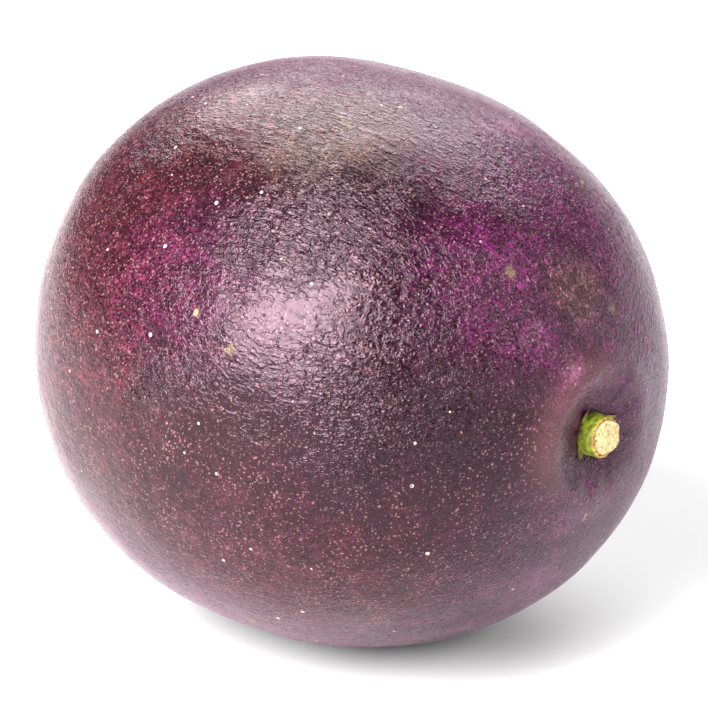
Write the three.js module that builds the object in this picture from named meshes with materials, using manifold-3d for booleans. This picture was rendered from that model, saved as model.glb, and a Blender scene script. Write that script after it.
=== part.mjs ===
// A ripe purple passion fruit as picked, lying on its side. Millimetres, +Z up, stem end towards +X.
// The rind is one closed body. The short green stub of its stalk is a body of its own, seated in the
// hollow at the stem end. The underside is pressed into a small flat, which the fruit rests on.
import * as THREE from "three";
import { mergeVertices } from "three/addons/utils/BufferGeometryUtils.js";
import Module from "manifold-3d";

const wasm = await Module();
wasm.setup();

// Rind
const bodyLength = 56.8; // along the fruit's own axis, before its two ends are hollowed
const bodyWidth = 50.7; // level, across the axis
const bodyHeight = 51.3; // upright, across the axis, before the rest flat
const squareness = 2.18; // 2 would be an ellipse, and more gives the ends fuller shoulders
const stemEndTaper = 0.05; // the stem half is slimmer than the blossom half by this share
const restFlatDepth = 0.5; // how far the underside is pressed flat

// The rind's broad soft swells and dips. They are spread evenly over it by the golden angle, by turns out
// and in.
const swellCount = 11;
const swellHeight = 0.22;
const swellSpread = 0.34; // radians
const swellTurn = 2.0; // turns the whole set about the fruit's axis, in radians

// Hollow round the stem, and the low lip that the rind raises about it, higher on one side
const stemHollowDepth = 1.5;
const stemHollowRadius = 3.6;
const stemLipHeight = 0.22;
const stemLipRadius = 6.2;
const stemLipWidth = 1.8;
const stemLipBias = 0.7; // share by which the high side stands above the mean
const stemLipHighSide = 2.7; // angle about the axis, from +Y towards +Z

// Scar where the flower fell, at the other end
const blossomHollowDepth = 0.5;
const blossomHollowRadius = 1.9;
const blossomTipHeight = 0.35;
const blossomTipRadius = 0.6;

// Stalk stub
const stubRadius = 1.75; // over the green bark, half way up
const stubHeight = 1.85; // from the floor of the hollow to the bark's broken edge
const stubFlare = 0.12; // how much wider it is near its foot
const barkThickness = 0.32;
const barkGroove = 0.22; // depth of the dry gap between the bark and the woody core
const coreRise = 0.38; // how far the core stands above the bark's edge
const breakSlope = 0.16; // rise of the break for each millimetre towards +Z
const breakRoughness = 0.07; // unevenness of the break
const seatDepth = 0.6; // how deep the stub sits in the rind
const seatGap = 0.3; // clearance between stub and rind

// Dry remains of the calyx: pointed tags that spread from the stub's foot over the hollow's side
const calyxTags = [
  { around: 2.35, length: 1.9, width: 1.0 },
  { around: 3.75, length: 1.6, width: 0.8 },
  { around: 5.0, length: 2.1, width: 0.9 },
  { around: 0.4, length: 1.5, width: 0.9 },
];
const tagThickness = 0.36;
const tagSides = 8;

// Fineness
const rindRings = 46;
const rindSectors = 64;
const ringCrowding = 0.7; // 0 spaces the rings evenly, and near 1 they crowd into the two ends
const stubSectors = 28;

const rindMaterial = new THREE.MeshStandardMaterial({ color: 0x55303f, roughness: 0.42, metalness: 0 });
const stubMaterial = new THREE.MeshStandardMaterial({ color: 0xa7a24a, roughness: 0.75, metalness: 0 });

const bell = (distance, width) => Math.exp(-((distance / width) ** 2));
const signedPower = (value, power) => Math.sign(value) * Math.abs(value) ** power;

const goldenAngle = Math.PI * (3 - Math.sqrt(5));
const swells = Array.from({ length: swellCount }, (_, index) => {
  const along = 1 - (2 * index + 1) / swellCount;
  const around = swellTurn + index * goldenAngle;
  const offAxis = Math.sqrt(1 - along * along);
  return {
    facing: new THREE.Vector3(along, offAxis * Math.cos(around), offAxis * Math.sin(around)),
    height: index % 2 ? -swellHeight : swellHeight,
  };
});

// How far a hollow, the lip and the blossom tip push the rind inwards along the axis.
function endSinking(along, offAxis, around) {
  if (along > 0) {
    const lipHeight = stemLipHeight * (1 + stemLipBias * Math.cos(around - stemLipHighSide));
    const lip = lipHeight * bell(offAxis - stemLipRadius, stemLipWidth);
    return stemHollowDepth * bell(offAxis, stemHollowRadius) - lip;
  }
  const tip = blossomTipHeight * bell(offAxis, blossomTipRadius);
  return blossomHollowDepth * bell(offAxis, blossomHollowRadius) - tip;
}

// A point of the rind. polar runs from 0 at the stem end to PI at the blossom end, and around is the
// angle about the axis, from +Y towards +Z.
function rindPoint(polar, around) {
  const along = signedPower(Math.cos(polar), 2 / squareness);
  const girth = Math.abs(Math.sin(polar)) ** (2 / squareness) * (1 - stemEndTaper * along);
  const point = new THREE.Vector3(
    (along * bodyLength) / 2,
    (girth * Math.cos(around) * bodyWidth) / 2,
    (girth * Math.sin(around) * bodyHeight) / 2,
  );
  const outward = point.clone().normalize();
  point.x -= Math.sign(along) * endSinking(along, Math.hypot(point.y, point.z), around);
  for (const swell of swells) {
    const turn = outward.angleTo(swell.facing);
    point.addScaledVector(outward, swell.height * bell(turn, swellSpread));
  }
  return point;
}

const hollowFloor = rindPoint(0, 0).x;
const seatFloor = hollowFloor - seatDepth;

// Height of the hollow's side above its floor, at a distance from the axis.
function hollowSide(offAxis, around) {
  const polar = Math.asin(((2 * offAxis) / bodyWidth) ** (squareness / 2));
  return rindPoint(polar, around).x - hollowFloor;
}

// A closed skin of rings between two poles, facing out.
function ringedGeometry(firstPole, lastPole, rings, sectors, pointAt) {
  const points = [firstPole];
  for (let ring = 0; ring < rings; ring++)
    for (let sector = 0; sector < sectors; sector++) points.push(pointAt(ring, sector));
  points.push(lastPole);
  const at = (ring, sector) => 1 + ring * sectors + (sector % sectors);
  const faces = [];
  for (let sector = 0; sector < sectors; sector++) {
    faces.push(0, at(0, sector), at(0, sector + 1));
    for (let ring = 0; ring < rings - 1; ring++) {
      const near = [at(ring, sector), at(ring, sector + 1)];
      const far = [at(ring + 1, sector), at(ring + 1, sector + 1)];
      faces.push(near[0], far[0], far[1], near[0], far[1], near[1]);
    }
    faces.push(points.length - 1, at(rings - 1, sector + 1), at(rings - 1, sector));
  }
  return new THREE.BufferGeometry().setFromPoints(points).setIndex(faces);
}

function solidFrom(geometry) {
  const bare = geometry.clone().deleteAttribute("normal").deleteAttribute("uv");
  const merged = mergeVertices(bare, 1e-4);
  const vertProperties = new Float32Array(merged.attributes.position.array);
  const triVerts = new Uint32Array(merged.index.array);
  return new wasm.Manifold(new wasm.Mesh({ numProp: 3, vertProperties, triVerts }));
}

function geometryFrom(solid) {
  const { vertProperties, triVerts } = solid.getMesh();
  const geometry = new THREE.BufferGeometry()
    .setAttribute("position", new THREE.BufferAttribute(vertProperties, 3))
    .setIndex(new THREE.BufferAttribute(triVerts, 1));
  geometry.computeVertexNormals();
  return geometry;
}

function rindSkin() {
  const pointAt = (ring, sector) => {
    const share = (ring + 1) / (rindRings + 1);
    const crowded = share - (ringCrowding * Math.sin(2 * Math.PI * share)) / (2 * Math.PI);
    return rindPoint(Math.PI * crowded, (2 * Math.PI * sector) / rindSectors);
  };
  return ringedGeometry(rindPoint(0, 0), rindPoint(Math.PI, 0), rindRings, rindSectors, pointAt);
}

function makeRind() {
  const skin = rindSkin();
  skin.computeBoundingBox();
  const flatLevel = skin.boundingBox.min.z + restFlatDepth;
  const ground = new THREE.BoxGeometry(bodyLength, bodyWidth, bodyHeight);
  ground.translate(0, 0, flatLevel - bodyHeight / 2);

  const seatRadius = stubRadius + seatGap;
  const seatLength = seatDepth + stemHollowDepth; // runs out through the hollow
  const seat = new THREE.CylinderGeometry(seatRadius, seatRadius, seatLength, stubSectors);
  seat.rotateZ(-Math.PI / 2).translate(seatFloor + seatLength / 2, 0, 0);

  return geometryFrom(solidFrom(skin).subtract(solidFrom(ground)).subtract(solidFrom(seat)));
}

// The stub stands on x = 0, the floor of the hollow. Its section runs from the top of the woody core,
// down into the groove, over the bark's broken edge and down the bark to the foot.
function stubGeometry() {
  const foot = seatGap - seatDepth;
  const coreRadius = stubRadius - barkThickness;
  const coreTop = stubHeight + coreRise;
  const section = [
    { radius: 0.25 * coreRadius, height: coreTop - 0.2 * coreRise, rough: 0.6 },
    { radius: 0.6 * coreRadius, height: coreTop, rough: 1 },
    { radius: coreRadius - barkThickness / 4, height: coreTop - 0.4 * coreRise, rough: 1 },
    { radius: coreRadius, height: stubHeight - barkGroove, rough: 0.6 },
    { radius: coreRadius + barkThickness / 4, height: stubHeight, rough: 1 },
    { radius: stubRadius - barkThickness / 3, height: stubHeight, rough: 1 },
    { radius: stubRadius - stubFlare / 2, height: 0.88 * stubHeight, rough: 0.6 },
    { radius: stubRadius, height: 0.6 * stubHeight, rough: 0.3 },
    { radius: stubRadius + stubFlare, height: 0.3 * stubHeight, rough: 0.2 },
    { radius: stubRadius, height: foot, rough: 0 },
    { radius: 0.6 * stubRadius, height: foot, rough: 0 },
  ];
  const pointAt = (ring, sector) => {
    const { radius, height, rough } = section[ring];
    const around = (2 * Math.PI * sector) / stubSectors;
    const wave = Math.sin(3 * around + 0.7) + 0.7 * Math.sin(5 * around + ring) + 0.5 * Math.sin(9 * around);
    const bump = rough * breakRoughness * wave;
    const slope = height > 0 ? (breakSlope * radius * Math.sin(around) * height) / stubHeight : 0;
    const reach = radius + bump / 2;
    return new THREE.Vector3(height + bump + slope, reach * Math.cos(around), reach * Math.sin(around));
  };
  const top = new THREE.Vector3(coreTop - 0.25 * coreRise, 0, 0);
  return ringedGeometry(top, new THREE.Vector3(foot, 0, 0), section.length, stubSectors, pointAt);
}

// One dry calyx tag: a flat pointed blade from inside the stub's foot, clear of the hollow's side.
function tagGeometry({ around, length, width }) {
  const clearance = seatGap + tagThickness / 2;
  const tipRadius = stubRadius + length;
  const root = new THREE.Vector2(stubRadius, hollowSide(stubRadius, around) + clearance);
  const tip = new THREE.Vector2(tipRadius, hollowSide(tipRadius, around) + clearance);
  const slope = tip.clone().sub(root).angle();
  const rooted = stubRadius / 2; // the length inside the stub, so that the two join
  const wholeLength = root.distanceTo(tip) + rooted;
  const blade = new THREE.ConeGeometry(width / 2, wholeLength, tagSides);
  blade.scale(1, 1, tagThickness / width);
  blade.translate(0, wholeLength / 2 - rooted, 0);
  blade.rotateX(slope).translate(0, root.x, root.y);
  blade.rotateY(Math.PI / 2).rotateX(around);
  return blade;
}

function makeStub() {
  const tags = calyxTags.map((tag) => solidFrom(tagGeometry(tag)));
  const whole = tags.reduce((sum, tag) => sum.add(tag), solidFrom(stubGeometry()));
  return geometryFrom(whole);
}

const rind = new THREE.Mesh(makeRind(), rindMaterial);
rind.name = "fruit";

const stub = new THREE.Mesh(makeStub(), stubMaterial);
stub.name = "stem_stub";
stub.position.x = hollowFloor;

// The part's origin is under the middle of the whole fruit, on the surface that it rests on.
const passionFruit = new THREE.Group();
passionFruit.add(rind, stub);
const extent = new THREE.Box3().setFromObject(passionFruit, true);
const middle = extent.getCenter(new THREE.Vector3());
passionFruit.position.set(-middle.x, -middle.y, -extent.min.z);

export default passionFruit;
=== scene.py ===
import math

import bmesh
import bpy
import numpy as np
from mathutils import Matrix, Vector, noise
from mathutils.bvhtree import BVHTree


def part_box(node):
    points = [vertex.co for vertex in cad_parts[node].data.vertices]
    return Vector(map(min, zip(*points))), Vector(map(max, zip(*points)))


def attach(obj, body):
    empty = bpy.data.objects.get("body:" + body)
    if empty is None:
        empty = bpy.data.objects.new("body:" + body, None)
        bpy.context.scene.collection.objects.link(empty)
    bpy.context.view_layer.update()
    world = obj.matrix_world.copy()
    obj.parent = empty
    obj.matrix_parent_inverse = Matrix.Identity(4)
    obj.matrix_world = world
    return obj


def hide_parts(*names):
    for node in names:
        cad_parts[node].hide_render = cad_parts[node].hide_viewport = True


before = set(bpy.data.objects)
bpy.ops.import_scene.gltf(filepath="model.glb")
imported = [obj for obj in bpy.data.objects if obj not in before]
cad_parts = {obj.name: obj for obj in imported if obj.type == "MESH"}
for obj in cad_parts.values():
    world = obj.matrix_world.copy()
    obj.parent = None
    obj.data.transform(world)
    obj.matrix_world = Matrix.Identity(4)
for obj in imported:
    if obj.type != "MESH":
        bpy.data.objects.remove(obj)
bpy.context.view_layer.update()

mm = 0.001
print("frame loaded:", sorted(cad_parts))


# A wire is a value that runs through a node tree. Sums written with wires become Math nodes.
class Wire:
    def __init__(self, tree, socket):
        self.tree, self.socket = tree, socket

    def __add__(self, other):
        return maths(self.tree, "ADD", self, other)

    def __sub__(self, other):
        return maths(self.tree, "SUBTRACT", self, other)

    def __rsub__(self, other):
        return maths(self.tree, "SUBTRACT", other, self)

    def __mul__(self, other):
        return maths(self.tree, "MULTIPLY", self, other)

    def __truediv__(self, other):
        return maths(self.tree, "DIVIDE", self, other)

    def __rtruediv__(self, other):
        return maths(self.tree, "DIVIDE", other, self)

    def __pow__(self, other):
        return maths(self.tree, "POWER", self, other)

    __radd__, __rmul__ = __add__, __mul__


def feed(tree, socket, value):
    if isinstance(value, Wire):
        tree.links.new(value.socket, socket)
    elif socket.type == "VECTOR" and isinstance(value, (int, float)):
        socket.default_value = (value, value, value)
    else:
        socket.default_value = value


def addNode(tree, kind, inputs=None, **settings):
    node = tree.nodes.new(kind)
    count = len(tree.nodes) - 1
    node.location = (count // 10 * 200, -(count % 10) * 190)  # in columns, to be read in the editor
    for name, value in settings.items():
        setattr(node, name, value)
    for name, value in (inputs or {}).items():
        feed(tree, node.inputs[name], value)
    return node


def output(tree, node, name=0):
    return Wire(tree, node.outputs[name])


def maths(tree, operation, *values):
    wide = ("VECTOR", "RGBA")
    vectors = any(isinstance(v, tuple) or isinstance(v, Wire) and v.socket.type in wide for v in values)
    node = addNode(tree, "ShaderNodeVectorMath" if vectors else "ShaderNodeMath", operation=operation)
    for socket, value in zip(node.inputs, values):
        feed(tree, socket, value)
    single = operation in ("DOT_PRODUCT", "LENGTH", "DISTANCE")
    return output(tree, node, "Value" if single or not vectors else "Vector")


def split(tree, vector):
    node = addNode(tree, "ShaderNodeSeparateXYZ", {"Vector": vector})
    return [output(tree, node, axis) for axis in "XYZ"]


def joined(tree, x, y, z):
    return output(tree, addNode(tree, "ShaderNodeCombineXYZ", {"X": x, "Y": y, "Z": z}))


def bell(tree, distance, width):  # 1 at no distance, falling off smoothly
    share = distance / width
    return maths(tree, "EXPONENT", share * share * -1)


def ramp(tree, value, start, end, low=0.0, high=1.0):
    inputs = {"Value": value, "From Min": start, "From Max": end, "To Min": low, "To Max": high}
    node = addNode(tree, "ShaderNodeMapRange", interpolation_type="SMOOTHSTEP", clamp=True)
    for name, item in inputs.items():
        feed(tree, node.inputs[name], item)
    return output(tree, node, "Result")


def clouds(tree, place, scale, detail=2.0, roughness=0.5, distortion=0.0):
    inputs = {"Vector": place, "Scale": scale, "Detail": detail, "Roughness": roughness,
              "Distortion": distortion}
    return output(tree, addNode(tree, "ShaderNodeTexNoise", inputs, noise_dimensions="3D"), 0)


def cells(tree, place, scale, randomness=1.0, feature="F1", **more):
    inputs = {"Vector": place, "Scale": scale, "Randomness": randomness, **more}
    return addNode(tree, "ShaderNodeTexVoronoi", inputs, feature=feature, voronoi_dimensions="3D")


def mixed(tree, share, first, second, blend="MIX"):
    node = addNode(tree, "ShaderNodeMix", data_type="RGBA", blend_type=blend, clamp_factor=True)
    for socket, value in zip((node.inputs[0], node.inputs[6], node.inputs[7]), (share, first, second)):
        feed(tree, socket, value)
    return output(tree, node, 2)


def colour(red, green, blue):
    return (red, green, blue, 1.0)


def addInputs(tree, sockets):  # named inputs with a default each, and the wires that come from them
    kinds = {float: "NodeSocketFloat", int: "NodeSocketInt", tuple: "NodeSocketVector"}
    for name, value in sockets.items():
        socket = tree.interface.new_socket(name, in_out="INPUT", socket_type=kinds[type(value)])
        socket.default_value = value
    node = addNode(tree, "NodeGroupInput")
    return {name: output(tree, node, name) for name in sockets}


# The rind: a geometry node tree shapes it from the sizes given here
fruitLow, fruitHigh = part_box("fruit")
fruitSize = (fruitHigh - fruitLow) / mm

rind = {
    "length": fruitSize.x + 0.32,  # full body in millimetres: the two end hollows take off this much
    "width": fruitSize.y + 0.02,  # the dips take off this much
    "height": fruitSize.z + 0.56,  # the flat underneath takes off this much
    "squareness": 2.18,
    "stemEndTaper": 0.05,
    "hollow": {"depth": 1.5, "radius": 3.2},
    "lip": {"height": 0.4, "radius": 6.0, "width": 1.5, "bias": 0.9, "highSide": 2.5},
    "pleats": {"height": 0.07, "reach": 5.5, "count": 11},
    "blossom": {"depth": 0.5, "radius": 1.9, "tipHeight": 0.35, "tipRadius": 0.6},
    "lumps": {"height": 0.22, "size": 9.0},
    "wrinkles": {"height": 0.09, "size": 1.5, "lengthScale": 0.45},
    "swells": {"count": 11, "height": 0.22, "spread": 0.34, "turn": 2.0},
    "flatEdge": 0.25,  # how softly the flat underneath turns into the round skin
    "meshPerSide": 128,
    "seed": 7,
}
rindCentre = Vector((
    fruitLow.x + (rind["length"] / 2 - 0.07) * mm,
    fruitLow.y + (rind["width"] / 2 + 0.03) * mm,
    fruitLow.z + (rind["height"] / 2 - 0.44) * mm,
))


# Broad swells and dips by the CAD body's own rule: spread evenly by the golden angle, by turns out and in
def evenly(count, turn):
    golden = math.pi * (3 - math.sqrt(5))
    ways = []
    for index in range(count):
        along = 1 - (2 * index + 1) / count
        around, offAxis = turn + index * golden, math.sqrt(1 - along * along)
        ways.append(Vector((along, offAxis * math.cos(around), offAxis * math.sin(around))))
    return ways


def bodyShape(tree, facing, size):
    # The body's smooth outline for a direction from its middle: full shoulders, slimmer at the stem end
    x, y, z = split(tree, facing)
    power = 2 / size["Squareness"]
    along = maths(tree, "SIGN", x) * maths(tree, "ABSOLUTE", x) ** power
    across = maths(tree, "MAXIMUM", 1 - x * x, 0.0) ** (power * 0.5)
    girth = across * (1 - along * size["Stem End Taper"])
    side = maths(tree, "NORMALIZE", joined(tree, 0.0, y, z))
    _, sideY, sideZ = split(tree, side)
    body = joined(
        tree,
        along * size["Length"] * 0.5,
        girth * sideY * size["Width"] * 0.5,
        girth * sideZ * size["Height"] * 0.5,
    )
    return body, along, sideY, sideZ


def endRelief(tree, body, along, sideY, sideZ, size):
    # How far the skin sinks along the axis: the stem hollow with its lip and pleats, and the blossom scar
    _, y, z = split(tree, body)
    offAxis = maths(tree, "SQRT", y * y + z * z)
    lipSide = rind["lip"]["highSide"]
    towardsHigh = sideY * math.cos(lipSide) + sideZ * math.sin(lipSide)
    lip = size["Lip Height"] * (1 + towardsHigh * rind["lip"]["bias"])
    lip = lip * bell(tree, offAxis - size["Lip Radius"], size["Lip Width"])
    around = maths(tree, "ARCTAN2", sideZ, sideY)
    wander = clouds(tree, body, 0.35) * 3
    pleats = maths(tree, "SINE", around * rind["pleats"]["count"] + wander * 2) * size["Pleat Height"]
    pleats = pleats * bell(tree, offAxis - size["Pleat Reach"] * 0.7, size["Pleat Reach"] * 0.45)
    stemEnd = size["Hollow Depth"] * bell(tree, offAxis, size["Hollow Radius"]) - lip + pleats
    tip = size["Blossom Tip Height"] * bell(tree, offAxis, size["Blossom Tip Radius"])
    blossomEnd = size["Blossom Depth"] * bell(tree, offAxis, size["Blossom Radius"]) - tip
    atStem = maths(tree, "GREATER_THAN", along, 0.0)
    return blossomEnd * (1 - atStem) - stemEnd * atStem


def rindTree():
    tree = bpy.data.node_groups.new("rindSkin", "GeometryNodeTree")
    size = addInputs(tree, {
        "Length": 56.8, "Width": 50.7, "Height": 51.3, "Squareness": 2.18, "Stem End Taper": 0.05,
        "Hollow Depth": 1.5, "Hollow Radius": 3.6,
        "Lip Height": 0.3, "Lip Radius": 7.0, "Lip Width": 1.9, "Pleat Height": 0.05, "Pleat Reach": 6.0,
        "Blossom Depth": 0.5, "Blossom Radius": 1.9, "Blossom Tip Height": 0.35, "Blossom Tip Radius": 0.6,
        "Swell Height": 0.2, "Swell Spread": 0.3, "Lump Height": 0.2, "Lump Size": 9.0,
        "Wrinkle Height": 0.06, "Wrinkle Size": 1.6,
        "Faces Per Side": 128, "Seed": 7, "Middle": (0.0, 0.0, 0.0), "Lowest": -25.2,
    })
    tree.interface.new_socket("Material", in_out="INPUT", socket_type="NodeSocketMaterial")
    tree.interface.new_socket("Geometry", in_out="OUTPUT", socket_type="NodeSocketGeometry")
    inputs = next(n for n in tree.nodes if n.bl_idname == "NodeGroupInput")

    perSide = maths(tree, "ADD", size["Faces Per Side"], 1.0)
    cube = addNode(tree, "GeometryNodeMeshCube", {"Size": 2.0})
    for axis in "XYZ":
        feed(tree, cube.inputs["Vertices " + axis], perSide)
    at = output(tree, addNode(tree, "GeometryNodeInputPosition"))
    keep = addNode(tree, "GeometryNodeStoreNamedAttribute",
                   {"Geometry": output(tree, cube, "Mesh"), "Name": "cubePlace", "Value": at},
                   data_type="FLOAT_VECTOR", domain="POINT")

    facing = maths(tree, "NORMALIZE", maths(tree, "TANGENT", at * (math.pi / 4)))
    body, along, sideY, sideZ = bodyShape(tree, facing, size)
    outward = maths(tree, "NORMALIZE", body)
    swollen = body + joined(tree, endRelief(tree, body, along, sideY, sideZ, size), 0.0, 0.0)
    rise = 0.0
    for index, way in enumerate(evenly(rind["swells"]["count"], rind["swells"]["turn"])):
        turn = maths(tree, "ARCCOSINE", maths(tree, "DOT_PRODUCT", outward, tuple(way)))
        height = size["Swell Height"] * (-1 if index % 2 else 1)
        rise = bell(tree, turn, size["Swell Spread"]) * height + rise
    swollen = swollen + outward * rise
    shaped = addNode(tree, "GeometryNodeSetPosition", {"Geometry": output(tree, keep), "Position": swollen})

    # Lumps and wrinkles stand along the skin's own normal. The seed only shifts where they fall.
    at = output(tree, addNode(tree, "GeometryNodeInputPosition"))
    normal = output(tree, addNode(tree, "GeometryNodeInputNormal"))
    shifted = at + joined(tree, size["Seed"] * 13.7, size["Seed"] * 5.1, 0.0)
    lumps = (clouds(tree, shifted, 1 / size["Lump Size"], 1.0) - 0.5) * size["Lump Height"] * 2
    x, y, z = split(tree, shifted)
    drawnOut = joined(tree, x * rind["wrinkles"]["lengthScale"], y, z)  # wrinkles run from end to end
    folds = clouds(tree, drawnOut, 1 / size["Wrinkle Size"], 2.0, 0.45, 0.4)
    folds = maths(tree, "ABSOLUTE", folds - 0.5) * -2  # sharp creases between round backs
    where = ramp(tree, clouds(tree, shifted, 0.11, 1.0), 0.42, 0.62, 0.35, 1.0)
    wrinkles = (folds + 0.2) * size["Wrinkle Height"] * where
    rough = addNode(tree, "GeometryNodeSetPosition",
                    {"Geometry": output(tree, shaped), "Offset": normal * (lumps + wrinkles)})

    # The underside is pressed flat on what the fruit lies on
    at = output(tree, addNode(tree, "GeometryNodeInputPosition"))
    x, y, z = split(tree, at)
    node = addNode(tree, "ShaderNodeMath", operation="SMOOTH_MAX")
    for socket, value in zip(node.inputs, (z, size["Lowest"], rind["flatEdge"])):
        feed(tree, socket, value)
    pressed = joined(tree, x, y, output(tree, node))
    placed = pressed * mm + size["Middle"]
    flat = addNode(tree, "GeometryNodeSetPosition", {"Geometry": output(tree, rough), "Position": placed})

    smooth = addNode(tree, "GeometryNodeSetShadeSmooth", {"Geometry": output(tree, flat)})
    real = addNode(tree, "GeometryNodeRealizeInstances", {"Geometry": output(tree, smooth)})
    coat = addNode(tree, "GeometryNodeSetMaterial",
                   {"Geometry": output(tree, real), "Material": output(tree, inputs, "Material")})
    end = addNode(tree, "NodeGroupOutput")
    feed(tree, end.inputs["Geometry"], output(tree, coat))
    return tree


def setInputs(modifier, values):
    for item in modifier.node_group.interface.items_tree:
        if item.item_type == "SOCKET" and item.in_out == "INPUT" and item.name in values:
            modifier[item.identifier] = values[item.name]


def addPiece(name, mesh):
    piece = bpy.data.objects.new(name, mesh)
    bpy.context.scene.collection.objects.link(piece)
    return piece


def layOutMap(mesh):
    # A map of six squares, one for each side of the cube that the skin was drawn from
    count = len(mesh.vertices)
    cube = np.empty(count * 3, np.float32)
    mesh.attributes["cubePlace"].data.foreach_get("vector", cube)
    cube = cube.reshape(-1, 3)
    corner = np.empty(len(mesh.loops), np.int32)
    mesh.loops.foreach_get("vertex_index", corner)
    quads = cube[corner].reshape(-1, 4, 3)
    middle = quads.mean(1)
    axis = np.abs(middle).argmax(1)
    positive = np.take_along_axis(middle, axis[:, None], 1)[:, 0] > 0
    across = np.take_along_axis(quads, ((axis + 1) % 3)[:, None, None], 2)[:, :, 0]
    upward = np.take_along_axis(quads, ((axis + 2) % 3)[:, None, None], 2)[:, :, 0]
    across = np.where(positive[:, None], across, -across)  # so that no square is mirrored
    margin = 0.012
    u = (axis[:, None] + margin + (across + 1) / 2 * (1 - 2 * margin)) / 3
    v = ((~positive)[:, None] + margin + (upward + 1) / 2 * (1 - 2 * margin)) / 2
    layer = mesh.uv_layers.new(name="OFBake")
    layer.data.foreach_set("uv", np.stack([u, v], 2).astype(np.float32).ravel())
    mesh.attributes.remove(mesh.attributes["cubePlace"])


def makeRind(material):
    host = addPiece("rind", bpy.data.meshes.new("rindStart"))
    modifier = host.modifiers.new("rindSkin", "NODES")
    modifier.node_group = rindTree()
    setInputs(modifier, {
        "Length": rind["length"], "Width": rind["width"], "Height": rind["height"],
        "Squareness": rind["squareness"], "Stem End Taper": rind["stemEndTaper"],
        "Hollow Depth": rind["hollow"]["depth"], "Hollow Radius": rind["hollow"]["radius"],
        "Lip Height": rind["lip"]["height"], "Lip Radius": rind["lip"]["radius"],
        "Lip Width": rind["lip"]["width"],
        "Pleat Height": rind["pleats"]["height"], "Pleat Reach": rind["pleats"]["reach"],
        "Blossom Depth": rind["blossom"]["depth"], "Blossom Radius": rind["blossom"]["radius"],
        "Blossom Tip Height": rind["blossom"]["tipHeight"],
        "Blossom Tip Radius": rind["blossom"]["tipRadius"],
        "Swell Height": rind["swells"]["height"], "Swell Spread": rind["swells"]["spread"],
        "Lump Height": rind["lumps"]["height"], "Lump Size": rind["lumps"]["size"],
        "Wrinkle Height": rind["wrinkles"]["height"], "Wrinkle Size": rind["wrinkles"]["size"],
        "Faces Per Side": rind["meshPerSide"], "Seed": rind["seed"],
        "Middle": tuple(rindCentre), "Lowest": (fruitLow.z - rindCentre.z) / mm, "Material": material,
    })
    bpy.context.view_layer.update()
    graph = bpy.context.evaluated_depsgraph_get()
    mesh = bpy.data.meshes.new_from_object(host.evaluated_get(graph))
    host.modifiers.clear()
    host.data = mesh
    mesh.name = "rind"
    layOutMap(mesh)
    print("rind:", len(mesh.polygons), "faces")
    return host


def startMaterial(name):
    material = bpy.data.materials.new(name)
    material.use_nodes = True
    tree = material.node_tree
    tree.nodes.clear()
    shader = addNode(tree, "ShaderNodeBsdfPrincipled")
    end = addNode(tree, "ShaderNodeOutputMaterial")
    tree.links.new(shader.outputs["BSDF"], end.inputs["Surface"])
    return material, tree, shader


def placeInMillimetres(tree, middle):
    place = output(tree, addNode(tree, "ShaderNodeTexCoord"), "Object")
    return (place - tuple(middle)) * (1 / mm)


# The speck effect is a node group. It takes a place in millimetres and gives a mask between 0 and 1.
def startEffect(name, sockets, results):
    tree = bpy.data.node_groups.new(name, "ShaderNodeTree")
    for result in results:
        tree.interface.new_socket(result, in_out="OUTPUT", socket_type="NodeSocketFloat")
    return tree, addInputs(tree, sockets)


def endEffect(tree, results):
    end = addNode(tree, "NodeGroupOutput")
    for name, value in results.items():
        feed(tree, end.inputs[name], value)


def useEffect(tree, effect, inputs, result):
    node = addNode(tree, "ShaderNodeGroup", node_tree=effect)
    for name, value in inputs.items():
        feed(tree, node.inputs[name], value)
    return output(tree, node, result)


def speckEffect():
    # Round specks scattered evenly, some left out, each of its own size
    tree, given = startEffect("specks", {
        "Place": (0.0, 0.0, 0.0), "Spacing": 1.0, "Smallest": 0.1, "Largest": 0.3,
        "Share": 0.5, "Softness": 0.4,
    }, ["Mask"])
    scattered = cells(tree, given["Place"] / given["Spacing"], 1.0)
    kept, size, _ = split(tree, output(tree, scattered, "Color"))
    radius = ramp(tree, size, 0.0, 1.0, given["Smallest"], given["Largest"]) / given["Spacing"]
    reach = output(tree, scattered, "Distance") / radius
    mask = ramp(tree, reach, 1 - given["Softness"], 1 + given["Softness"], 1.0, 0.0)
    endEffect(tree, {"Mask": mask * maths(tree, "LESS_THAN", kept, given["Share"])})
    return tree


def relief(tree, height, under=None):  # height in millimetres
    node = addNode(tree, "ShaderNodeBump", {"Height": height, "Distance": mm, "Strength": 1.0})
    if under:
        feed(tree, node.inputs["Normal"], under)
    return output(tree, node)


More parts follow.
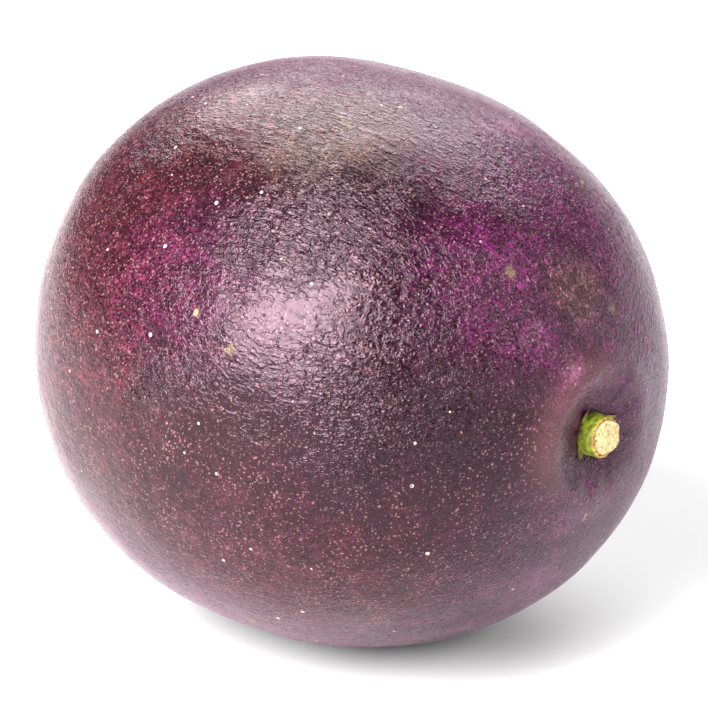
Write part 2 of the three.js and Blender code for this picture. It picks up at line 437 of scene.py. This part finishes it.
# Patches of another shade. Each lies at a share of the way from the blossom end to the stem end, and at an
# angle in degrees about the axis: 0 is the top, 90 the near side, 180 underneath. Its spread is in radians.
rindZones = {
    "dark": [{"along": 0.9, "around": 90, "spread": 0.4, "strength": 0.85},
             {"along": 0.8, "around": 20, "spread": 0.3, "strength": 0.7}],
    # Violet patches: the skin's own purple, and also painted light: a painted highlight where the side
    # softbox shines (around 30), a painted halo beside the main highlight (along 0.5) and painted rim light
    # on the stem end's far edge (315 and 220)
    "violet": [{"along": 0.9, "around": 30, "spread": 0.25, "strength": 0.3},
               {"along": 0.9, "around": 315, "spread": 0.6, "strength": 0.8},
               {"along": 0.9, "around": 220, "spread": 0.6, "strength": 0.7},
               {"along": 0.5, "around": 60, "spread": 0.3, "strength": 0.2}],
    # Pale patches on the top, the near side and underneath: the skin's dusty bloom, and also painted light
    # where the rim of the fruit catches the bright room
    "dustyAndLit": [{"along": 0.7, "around": 140, "spread": 0.6, "strength": 0.45},
              {"along": 0.5, "around": 0, "spread": 0.5, "strength": 0.35},
              {"along": 0.3, "around": 70, "spread": 0.5, "strength": 0.3}],
    "olive": [{"along": 0.6, "around": 20, "spread": 0.2, "strength": 0.35}],
    "tan": [{"along": 0.95, "around": 0, "spread": 0.1, "strength": 0.5}],
}

# Old scratches, flecks and scabs, scattered by rule. Each kind's height in mm, how strongly it covers, how
# far apart they are, the share that is kept, the least and most of its half width in mm, how many times
# longer than wide it is, how ragged its edge is, and its lean in radians from the axis towards the top
rindMarks = {
    "olive": {"rise": 0.0, "strength": 0.65, "spacing": 5.0, "share": 0.5, "halfWidth": (0.25, 0.5),
              "longer": 2.2, "raggedness": 0.9, "lean": 0.9},
    "tan": {"rise": 0.0, "strength": 0.6, "spacing": 6.0, "share": 0.4, "halfWidth": (0.2, 0.35),
            "longer": 2.5, "raggedness": 0.9, "lean": -0.6},
    "scab": {"rise": -0.04, "strength": 0.9, "spacing": 5.0, "share": 0.4, "halfWidth": (0.15, 0.28),
             "longer": 2.2, "raggedness": 0.5, "lean": 1.3},
    "scratch": {"rise": 0.02, "strength": 0.8, "spacing": 3.2, "share": 0.35, "halfWidth": (0.06, 0.1),
                "longer": 9.0, "raggedness": 0.15, "lean": 0.4},
}

rindLook = {
    "dark": colour(0.008, 0.001, 0.003),
    "brown": colour(0.026, 0.0045, 0.0045),
    # the skin's purple, used also for a painted highlight, its halo and painted rim light
    "violet": colour(0.14, 0.012, 0.09),
    # pale bloom colour, used also as painted rim light on the top, side and lower edges
    "dustyAndLit": colour(0.09, 0.016, 0.03),
    "speckle": colour(0.3, 0.14, 0.14),
    "cream": colour(0.75, 0.55, 0.45),
    "olive": colour(0.12, 0.095, 0.04),
    "tan": colour(0.22, 0.13, 0.075),
    # near black for the pits: partly their own darker core, partly painted shade in them
    "pit": colour(0.008, 0.002, 0.004),
    # near black, painted shade for the crevices and creases
    "paintedCreaseShade": colour(0.006, 0.0015, 0.003),
    "scab": colour(0.3, 0.2, 0.09),
    "scratch": colour(0.32, 0.2, 0.19),
    "cork": colour(0.26, 0.15, 0.09),
    "roughness": 0.2,
    "roughnessSpread": 0.07,
    "lipRadius": 6.2,
    "lipWidth": 1.7,
    "lipShare": 0.32,
    "lipShade": colour(0.16, 0.075, 0.07),
    "scarRadius": 1.3,
    "sheen": 0.075,
    "sheenRoughness": 0.4,
    "sheenTint": colour(1.0, 0.12, 0.6),
    "shine": 0.37,
    "shineTint": colour(1.0, 0.68, 0.82),
    "relief": {"pebbles": 0.024, "folds": 0.09, "grain": 0.006, "pits": 0.05},
    "pebbleSpacing": 0.42,
    # Scale of each cloud pattern, per millimetre
    "clouds": {"warp": 0.9, "folds": 1.7, "foldedHere": 0.13, "grain": 6.5, "zones": 0.06, "ragged": 0.2,
               "mottle": 0.7, "stipple": 4.2, "speckled": 0.3, "marks": 2.6},
}

# Specks by kind: how far apart they are and the least and most of their radius in mm, the share that is
# kept, and how soft the edge is
rindSpecks = {
    "pits": {"Spacing": 0.8, "Smallest": 0.05, "Largest": 0.11, "Share": 0.85, "Softness": 0.5},
    "speckles": {"Spacing": 0.25, "Smallest": 0.02, "Largest": 0.085, "Share": 0.8, "Softness": 0.6},
    "bigger": {"Spacing": 0.5, "Smallest": 0.04, "Largest": 0.12, "Share": 0.3, "Softness": 0.5},
    "palest": {"Spacing": 1.6, "Smallest": 0.07, "Largest": 0.17, "Share": 0.3, "Softness": 0.4},
}


def patchDirection(patch):
    along, around = patch["along"] * 2 - 1, math.radians(patch["around"])
    offAxis = math.sqrt(1 - along * along)
    return Vector((along, -offAxis * math.sin(around), offAxis * math.cos(around)))


def rindMaterial(specks):
    material, tree, shader = startMaterial("rind")
    place = placeInMillimetres(tree, rindCentre)
    x, y, z = split(tree, place)
    scale, depth = rindLook["clouds"], rindLook["relief"]
    warp = clouds(tree, place, scale["warp"], 2.0)
    drawnOut = joined(tree, x * 0.6, y, z) + warp * 0.8

    # Height of the skin's fine relief, in millimetres
    pebbleCells = cells(tree, drawnOut, 1 / rindLook["pebbleSpacing"])
    pebbles = output(tree, pebbleCells, "Distance")
    foldLine, foldTilt = 0.94, 0.34  # cosine and sine of the folds' tilt from the axis
    lengthways = (x * foldLine - z * foldTilt) * 0.3
    crossways = x * foldTilt + z * foldLine
    folded = clouds(tree, joined(tree, lengthways, y, crossways) + warp * 1.1, scale["folds"], 3.0, 0.6)
    folds = maths(tree, "MINIMUM", maths(tree, "ABSOLUTE", folded - 0.5) * 5, 1.0)
    patchy = clouds(tree, place, scale["foldedHere"], 2.0) + x * 0.004 + y * 0.007 + z * 0.004
    foldedHere = ramp(tree, patchy, 0.38, 0.66, 0.3, 1.0)
    grain = clouds(tree, place, scale["grain"], 2.0, 0.65)
    pits = useEffect(tree, specks, {"Place": place, **rindSpecks["pits"]}, "Mask")
    creases = (1 - folds) * foldedHere
    height = grain * depth["grain"] - pebbles * depth["pebbles"]
    height = height - creases * depth["folds"] - pits * depth["pits"]

    # Colour: broad zones first, then speckles, specks and pits; the crevices, creases and pits are also
    # darkened as painted shade
    zone = clouds(tree, place, scale["zones"], 3.0, 0.55, 0.6)
    towardsStem = ramp(tree, x + zone * 30, 0.0, 30.0)
    base = mixed(tree, towardsStem, rindLook["brown"], rindLook["dark"])
    facing = maths(tree, "NORMALIZE", place)
    ragged = (clouds(tree, place, scale["ragged"], 4.0, 0.65) - 0.5) * 0.5
    # Some patches are painted light as well as skin tone: the pale ones paint rim light, the violet ones a
    # highlight, its halo and rim light
    for shade, patches in rindZones.items():
        for patch in patches:
            near = maths(tree, "DOT_PRODUCT", facing, tuple(patchDirection(patch)))
            turn = maths(tree, "ARCCOSINE", near) / patch["spread"] + ragged * 2
            base = mixed(tree, ramp(tree, turn, 0.2, 1.6, patch["strength"], 0.0), base, rindLook[shade])
    mottle = ramp(tree, clouds(tree, place, scale["mottle"], 4.0, 0.65), 0.4, 0.7, 0.55, 1.5)
    stipple = ramp(tree, clouds(tree, place + warp * 0.3, scale["stipple"], 2.0, 0.7), 0.35, 0.65, 0.2, 2.0)
    base = base * mottle * stipple

    speckles = useEffect(tree, specks, {"Place": place + warp * 0.5, **rindSpecks["speckles"]}, "Mask")
    speckled = ramp(tree, clouds(tree, place, scale["speckled"], 3.0, 0.6), 0.35, 0.65, 0.25, 0.75)
    bigger = useEffect(tree, specks, {"Place": place + (5.0, 2.0, 8.0), **rindSpecks["bigger"]}, "Mask")
    palest = useEffect(tree, specks, {"Place": place + (7.0, 3.0, 1.0), **rindSpecks["palest"]}, "Mask")
    # Painted shade: the crevices between the pebbles are darkened in the colour, as if shade lay in them; the
    # same mask also roughens them
    creviced = ramp(tree, pebbles, 0.5, 0.95) * 0.7
    base = mixed(tree, creviced, base, rindLook["paintedCreaseShade"])
    base = mixed(tree, speckles * speckled, base, rindLook["speckle"])
    base = mixed(tree, bigger * 0.6, base, rindLook["speckle"])
    base = mixed(tree, palest, base, rindLook["cream"])
    # Painted shade: the fold creases are darkened in the colour too
    base = mixed(tree, creases * 0.85, base, rindLook["paintedCreaseShade"])
    # The pits are real dents; their near-black colour is also painted shade in them
    base = mixed(tree, pits * 0.9, base, rindLook["pit"])

    # The stem end's pale lip, the corky blossom scar, then the marks
    offAxis = maths(tree, "SQRT", y * y + z * z)
    lipSide = rind["lip"]["highSide"]
    towardsHigh = (y * math.cos(lipSide) + z * math.sin(lipSide)) / (offAxis + 0.01)
    lip = bell(tree, offAxis - rindLook["lipRadius"], rindLook["lipWidth"]) * ramp(tree, x, 18.0, 22.0)
    lip = lip * ramp(tree, towardsHigh + ragged * 0.5, -0.2, 0.9)
    base = mixed(tree, lip * rindLook["lipShare"], base, rindLook["lipShade"])
    scar = bell(tree, offAxis + ragged, rindLook["scarRadius"]) * ramp(tree, x, -22.0, -26.0)
    base = mixed(tree, scar * 0.9, base, rindLook["cork"])
    wander = clouds(tree, place, scale["marks"], 3.0, 0.7) - 0.5
    markHeight = 0.0
    for shade, kind in rindMarks.items():
        lengthways = (x * math.cos(kind["lean"]) + z * math.sin(kind["lean"])) / kind["longer"]
        crossways = z * math.cos(kind["lean"]) - x * math.sin(kind["lean"])
        smallest, largest = kind["halfWidth"]
        marked = useEffect(tree, specks, {
            "Place": joined(tree, lengthways, y, crossways) + wander * kind["raggedness"],
            "Spacing": kind["spacing"], "Smallest": smallest, "Largest": largest,
            "Share": kind["share"], "Softness": 0.3,
        }, "Mask")
        base = mixed(tree, marked * kind["strength"], base, rindLook[shade])
        if kind["rise"]:
            markHeight = marked * kind["rise"] + markHeight

    smoothest = rindLook["roughness"] - rindLook["roughnessSpread"]
    roughest = rindLook["roughness"] + rindLook["roughnessSpread"]
    roughness = ramp(tree, grain, 0.3, 0.7, smoothest, roughest)
    roughness = roughness + palest * 0.25 + creviced * 0.15
    feed(tree, shader.inputs["Base Color"], base)
    feed(tree, shader.inputs["Normal"], relief(tree, height, relief(tree, markHeight)))
    feed(tree, shader.inputs["Roughness"], roughness)
    shader.inputs["Specular IOR Level"].default_value = rindLook["shine"]
    shader.inputs["Specular Tint"].default_value = rindLook["shineTint"]
    shader.inputs["Sheen Weight"].default_value = rindLook["sheen"]
    shader.inputs["Sheen Roughness"].default_value = rindLook["sheenRoughness"]
    shader.inputs["Sheen Tint"].default_value = rindLook["sheenTint"]
    return material


# The stalk stub, broken off short. Sizes in millimetres, angles in radians from +Y towards +Z.
stubLow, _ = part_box("stem_stub")
stub = {
    "radius": 1.75,
    "height": 1.85,
    "seat": 0.45,  # how far its foot goes below the floor of the hollow
    "flare": 0.12,
    "bark": {"thickness": 0.3, "ragged": 0.24, "ribs": 0.035, "thickSide": 3.1, "thinner": 0.6},
    "gap": {"width": 0.14, "depth": 0.3, "crackDepth": 0.6, "cracks": (3.9, 2.4)},
    "core": {"rise": 0.22, "lean": 0.2, "fibres": 0.34},
    "profile": {"coreEnd": 0.68, "splitEnd": 0.8},  # shares of the way from the middle to the edge
    "sectors": 144,
    "rings": 62,
    "tags": [  # dry tips of the old flower's leaves, lying in the hollow
        {"around": 2.1, "length": 1.25, "width": 1.1, "curl": 0.3},
        {"around": 3.8, "length": 0.95, "width": 1.0, "curl": 0.2},
        {"around": 5.0, "length": 0.8, "width": 0.9, "curl": 0.05},
        {"around": 0.4, "length": 1.1, "width": 0.9, "curl": 0.1},
    ],
    "tagThickness": 0.16,
}
stubFoot = Vector((stubLow.x + 0.3 * mm, rindCentre.y, rindCentre.z))

stubLook = {
    "green": colour(0.26, 0.34, 0.012),
    "olive": colour(0.1, 0.1, 0.012),
    "innerBark": colour(0.5, 0.24, 0.05),
    "wood": colour(0.58, 0.46, 0.23),
    "woodPit": colour(0.36, 0.16, 0.045),
    # dry brown, also used as painted shadow at the stub's foot
    "dry": colour(0.16, 0.1, 0.03),
    "tip": colour(0.05, 0.022, 0.014),
}

stubSpecks = {
    "pores": {"Spacing": 0.38, "Smallest": 0.04, "Largest": 0.15, "Share": 0.6, "Softness": 0.5},
    "warts": {"Spacing": 0.55, "Smallest": 0.04, "Largest": 0.12, "Share": 0.4, "Softness": 0.6},
}


def stubMaterial(specks):
    material, tree, shader = startMaterial("stub")
    place = placeInMillimetres(tree, stubFoot)
    bark = output(tree, addNode(tree, "ShaderNodeAttribute", attribute_name="bark"), "Fac")
    dryness = output(tree, addNode(tree, "ShaderNodeAttribute", attribute_name="dryness"), "Fac")
    rise, y, z = split(tree, place)
    blotches = clouds(tree, place, 1.3, 4.0, 0.65)
    streaks = clouds(tree, joined(tree, rise * 0.5, y * 2.2, z * 2.2), 2.2, 3.0, 0.6)
    fibres = clouds(tree, joined(tree, rise * 0.6, y, z), 7.0, 3.0, 0.7)
    pores = useEffect(tree, specks, {"Place": place, **stubSpecks["pores"]}, "Mask")
    warts = useEffect(tree, specks, {"Place": place + (3.0, 1.0, 2.0), **stubSpecks["warts"]}, "Mask")

    skin = mixed(tree, ramp(tree, blotches, 0.4, 0.62), stubLook["green"], stubLook["olive"])
    # Painted shadow: the stub's skin darkens towards its foot in the hollow, as if shaded there
    skin = mixed(tree, ramp(tree, rise, 0.55, -0.1) * 0.85, skin, stubLook["dry"])
    skin = mixed(tree, ramp(tree, streaks, 0.55, 0.75) * 0.5, skin, stubLook["dry"])
    skin = mixed(tree, warts * 0.5, skin, stubLook["innerBark"])
    skin = mixed(tree, dryness * 0.75, skin, stubLook["dry"])
    skin = mixed(tree, ramp(tree, dryness, 0.6, 1.0) * 0.8, skin, stubLook["tip"])
    wood = mixed(tree, ramp(tree, fibres, 0.46, 0.7) * 0.6, stubLook["wood"], stubLook["innerBark"])
    wood = mixed(tree, pores * 0.85, wood, stubLook["woodPit"])
    base = mixed(tree, ramp(tree, bark, 0.0, 0.45), wood, stubLook["innerBark"])
    base = mixed(tree, ramp(tree, bark + (streaks - 0.5) * 0.3, 0.65, 0.9), base, skin)

    height = fibres * 0.05 + streaks * 0.05 + warts * 0.02 - pores * (1 - bark) * 0.08
    feed(tree, shader.inputs["Base Color"], base)
    feed(tree, shader.inputs["Roughness"], ramp(tree, fibres, 0.3, 0.7, 0.5, 0.75) - bark * 0.12)
    feed(tree, shader.inputs["Normal"], relief(tree, height))
    return material


def grooveDepth(around):  # the split between bark and core, torn deeper in places
    gap = stub["gap"]
    torn = max(math.exp(-((around - crack) / 0.38) ** 2) for crack in gap["cracks"])
    return gap["depth"] + gap["crackDepth"] * torn


def coreFibres(spot):  # the torn wood: a few big steps with fine fibres on them
    steps = noise.noise(spot * 0.9 + Vector((0.0, 4.2, 1.3))) * 0.6
    return (steps + noise.fractal(spot * 2.8, 0.9, 2.0, 3) * 0.4) * stub["core"]["fibres"]


def stubPoint(share, around):
    # A point on the stub for share 0 at the middle of the break, 1 at its edge and 2 at the foot
    y, z = math.cos(around), math.sin(around)
    round3 = Vector((0.0, y * 2, z * 2))
    bark, core, gap = stub["bark"], stub["core"], stub["gap"]
    radius = stub["radius"] * (1 + 0.035 * noise.noise(round3 * 0.8))
    radius = radius + bark["ribs"] * noise.noise(round3 * 3.5)
    torn = noise.fractal(round3 * 1.9, 0.8, 2.0, 3) * bark["ragged"]
    thick = 1 - bark["thinner"] * (0.5 - 0.5 * math.cos(around - bark["thickSide"]))
    barkWidth, gapWidth = bark["thickness"] * thick, gap["width"] * thick
    rimHeight = stub["height"] - 0.06 - 0.3 * (1 - thick) + torn
    coreEdge = radius - barkWidth - gapWidth
    coreEnd, splitEnd = stub["profile"]["coreEnd"], stub["profile"]["splitEnd"]
    if share < coreEnd:  # the core, domed and fibrous
        r = coreEdge * share / coreEnd
        spot = Vector((0.0, y * r, z * r))
        fibres = coreFibres(spot)
        dome = core["rise"] * (1 - 0.7 * (r / coreEdge) ** 3)
        return r, stub["height"] + dome + core["lean"] * y * r / coreEdge + fibres, 0.0
    if share < splitEnd:  # down into the split and up the inner bark
        step = (share - coreEnd) / (splitEnd - coreEnd)
        low = rimHeight - grooveDepth(around) * thick * math.sin(math.pi * min(step * 1.1, 1.0)) ** 0.7
        start = stub["height"] + core["rise"] * 0.3 + core["lean"] * y
        blend = min(step * 3, 1.0)
        fibres = coreFibres(Vector((0.0, y * coreEdge, z * coreEdge)))
        return coreEdge + gapWidth * step, (start + fibres) * (1 - blend) + low * blend, 0.1 + 0.45 * step
    if share < 1.0:  # across the torn rim of the bark
        step = (share - splitEnd) / (1 - splitEnd)
        crown = 0.07 * math.sin(math.pi * step)
        return radius - barkWidth * (1 - step), rimHeight + crown, 0.55 + 0.3 * step
    drop = share - 1.0  # down the outside
    height = rimHeight - drop * (rimHeight + stub["seat"])
    low = max(0.0, 1 - height / stub["height"])
    knots = noise.fractal(Vector((height * 1.2, y * 2.4, z * 2.4)), 0.8, 2.0, 3) * 0.05
    return radius + stub["flare"] * low ** 2 + knots, height, min(1.0, 0.85 + drop * 2)


def tagPatch(settings, skin):
    # A thin pointed leaf tip that follows the rind, closed all round. skin gives the rind's height at (y, z).
    long, wide = 14, 8
    top, under = [], []
    side = Vector((0.0, -math.sin(settings["around"]), math.cos(settings["around"])))
    out = Vector((0.0, math.cos(settings["around"]), math.sin(settings["around"])))
    for i in range(long + 1):
        along = i / long
        wavy = 1 + 0.15 * math.sin(along * 9 + settings["around"])
        halfWidth = settings["width"] / 2 * (1 - along ** 1.7) * wavy
        for j in range(wide + 1):
            across = j / wide * 2 - 1
            outward = stub["radius"] - 0.25 + along * (settings["length"] + 0.25)
            spot = out * outward + side * halfWidth * across
            spot += side * 0.12 * math.sin(along * 4 + settings["around"] * 3)
            ground = skin(spot.y, spot.z)
            crinkle = noise.noise(spot * 3.1) * 0.05
            lift = settings["curl"] * along ** 2 * (1 + 0.4 * across)
            crown = stub["tagThickness"] * (1 - across ** 2) * (1 - 0.6 * along) + crinkle * (1 - across ** 2)
            top.append(Vector((ground + lift + 0.03 + max(crown, 0.0), spot.y, spot.z)))
            under.append(Vector((ground + lift * 0.8 - 0.05, spot.y, spot.z)))
    points = top + under
    shift = len(top)
    faces = []
    for i in range(long):
        for j in range(wide):
            a = i * (wide + 1) + j
            b = a + wide + 1
            faces.append((a, a + 1, b + 1, b))
            faces.append((a + shift, b + shift, b + 1 + shift, a + 1 + shift))
    rim = [(i * (wide + 1), (i + 1) * (wide + 1)) for i in range(long)]
    rim += [(long * (wide + 1) + j, long * (wide + 1) + j + 1) for j in range(wide)]
    rim += [((i + 1) * (wide + 1) + wide, i * (wide + 1) + wide) for i in range(long - 1, -1, -1)]
    rim += [(j + 1, j) for j in range(wide - 1, -1, -1)]
    faces += [(a, b, b + shift, a + shift) for a, b in rim]
    dryness = [0.25 + 0.75 * (i // (wide + 1)) / long for i in range(shift)] * 2
    return points, faces, dryness


def makeStub(material, rindPiece):
    sectors, rings = stub["sectors"], stub["rings"]
    points, shares, faces = [], [], []
    for ring in range(1, rings + 1):
        for sector in range(sectors):
            around = 2 * math.pi * sector / sectors
            radius, height, bark = stubPoint(ring / rings * 2, around)
            points.append(Vector((height, radius * math.cos(around), radius * math.sin(around))))
            shares.append(bark)
    for ring in range(rings - 1):
        for sector in range(sectors):
            after = (sector + 1) % sectors
            a, b = ring * sectors, (ring + 1) * sectors
            faces.append((a + sector, b + sector, b + after, a + after))
    middle = len(points)
    _, height, _ = stubPoint(0.0, 0.0)
    points += [Vector((height, 0.0, 0.0)), Vector((-stub["seat"], 0.0, 0.0))]
    shares += [0.0, 1.0]
    last = (rings - 1) * sectors
    for sector in range(sectors):
        after = (sector + 1) % sectors
        faces += [(middle, sector, after), (middle + 1, last + after, last + sector)]
    dryness = [0.0] * len(points)

    surface = BVHTree.FromPolygons([v.co for v in rindPiece.data.vertices],
                                   [list(f.vertices) for f in rindPiece.data.polygons])

    def skin(y, z):
        above = stubFoot + Vector((5.0, y, z)) * mm
        hit = surface.ray_cast(above, Vector((-1.0, 0.0, 0.0)))[0]
        return (hit.x - stubFoot.x) / mm

    for settings in stub["tags"]:
        tagPoints, tagFaces, tagDryness = tagPatch(settings, skin)
        start = len(points)
        points += tagPoints
        faces += [tuple(corner + start for corner in face) for face in tagFaces]
        dryness += tagDryness
        shares += [1.0] * len(tagPoints)

    mesh = bpy.data.meshes.new("stub")
    mesh.from_pydata([stubFoot + point * mm for point in points], [], faces)
    mesh.attributes.new("bark", "FLOAT", "POINT").data.foreach_set("value", np.array(shares, np.float32))
    mesh.attributes.new("dryness", "FLOAT", "POINT").data.foreach_set("value", np.array(dryness, np.float32))
    shape = bmesh.new()
    shape.from_mesh(mesh)
    bmesh.ops.remove_doubles(shape, verts=shape.verts, dist=0.001 * mm)
    bmesh.ops.recalc_face_normals(shape, faces=shape.faces)
    shape.to_mesh(mesh)
    shape.free()
    mesh.polygons.foreach_set("use_smooth", [True] * len(mesh.polygons))
    mesh.materials.append(material)
    print("stub:", len(mesh.polygons), "faces")
    return addPiece("stalkStub", mesh)


# Floor, light and camera
stage = {
    "floorRadius": 3.0,
    "floorColour": colour(0.6, 0.6, 0.6),
    "floorRoughness": 0.9,
    "roomLight": 0.16,  # the white room's own even light
    # White softboxes: turn from -Y towards +X and rise in degrees, distance and size in metres, and
    # power in watts
    "lights": {
        "mainSoftbox": {"turn": 0, "rise": 35, "distance": 0.8, "size": (0.58, 0.68), "power": 32.0},
        "sideSoftbox": {"turn": 110, "rise": 30, "distance": 0.8, "size": (0.3, 0.35), "power": 3.5},
        "backSoftbox": {"turn": 220, "rise": 45, "distance": 0.8, "size": (0.8, 0.8), "power": 12.0},
    },
    "camera": {"turn": 43.7, "rise": 20.4, "distance": 0.3, "lens": 173.0},
}


def direction(turn, rise):
    turn, rise = math.radians(turn), math.radians(rise)
    return Vector((math.sin(turn) * math.cos(rise), -math.cos(turn) * math.cos(rise), math.sin(rise)))


def aim(item, place, target):
    item.location = place
    item.rotation_euler = (target - place).to_track_quat("-Z", "Y").to_euler()


def addLight(name, settings):
    light = bpy.data.lights.new(name, "AREA")
    light.shape = "RECTANGLE"
    light.size, light.size_y = settings["size"]
    light.energy = settings["power"]
    item = bpy.data.objects.new(name, light)
    bpy.context.scene.collection.objects.link(item)
    aim(item, rindCentre + direction(settings["turn"], settings["rise"]) * settings["distance"], rindCentre)


def addFloor():
    material, tree, shader = startMaterial("paleFloor")
    shader.inputs["Base Color"].default_value = stage["floorColour"]
    shader.inputs["Roughness"].default_value = stage["floorRoughness"]
    radius, count = stage["floorRadius"], 96
    turns = [2 * math.pi * i / count for i in range(count)]
    rim = [(radius * math.cos(turn), radius * math.sin(turn), 0) for turn in turns]
    mesh = bpy.data.meshes.new("floor")
    mesh.from_pydata(rim, [], [range(count)])
    mesh.materials.append(material)
    addPiece("floor", mesh)


def addSurroundings():
    # A white studio, seen as white and lighting the fruit evenly at a lower strength
    world = bpy.data.worlds.new("studio")
    bpy.context.scene.world = world
    world.use_nodes = True
    tree = world.node_tree
    tree.nodes.clear()
    seen = output(tree, addNode(tree, "ShaderNodeLightPath"), "Is Camera Ray")
    strength = ramp(tree, seen, 0.0, 1.0, stage["roomLight"], 1.0)
    backdrop = addNode(tree, "ShaderNodeBackground", {"Color": colour(1, 1, 1), "Strength": strength})
    end = addNode(tree, "ShaderNodeOutputWorld")
    tree.links.new(backdrop.outputs[0], end.inputs["Surface"])


def addCamera():
    settings = stage["camera"]
    data = bpy.data.cameras.new("camera")
    data.lens = settings["lens"]
    data.clip_start, data.clip_end = 0.01, 20
    item = bpy.data.objects.new("camera", data)
    bpy.context.scene.collection.objects.link(item)
    aim(item, rindCentre + direction(settings["turn"], settings["rise"]) * settings["distance"], rindCentre)
    bpy.context.scene.camera = item
    bpy.context.scene.view_settings.view_transform = "Standard"


addCamera()
addSurroundings()
addFloor()
for name, settings in stage["lights"].items():
    addLight(name, settings)
print("stage set")

specks = speckEffect()
rindPiece = makeRind(rindMaterial(specks))
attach(rindPiece, "root")
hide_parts("fruit")

stubPiece = makeStub(stubMaterial(specks), rindPiece)
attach(stubPiece, "root")
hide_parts("stem_stub")
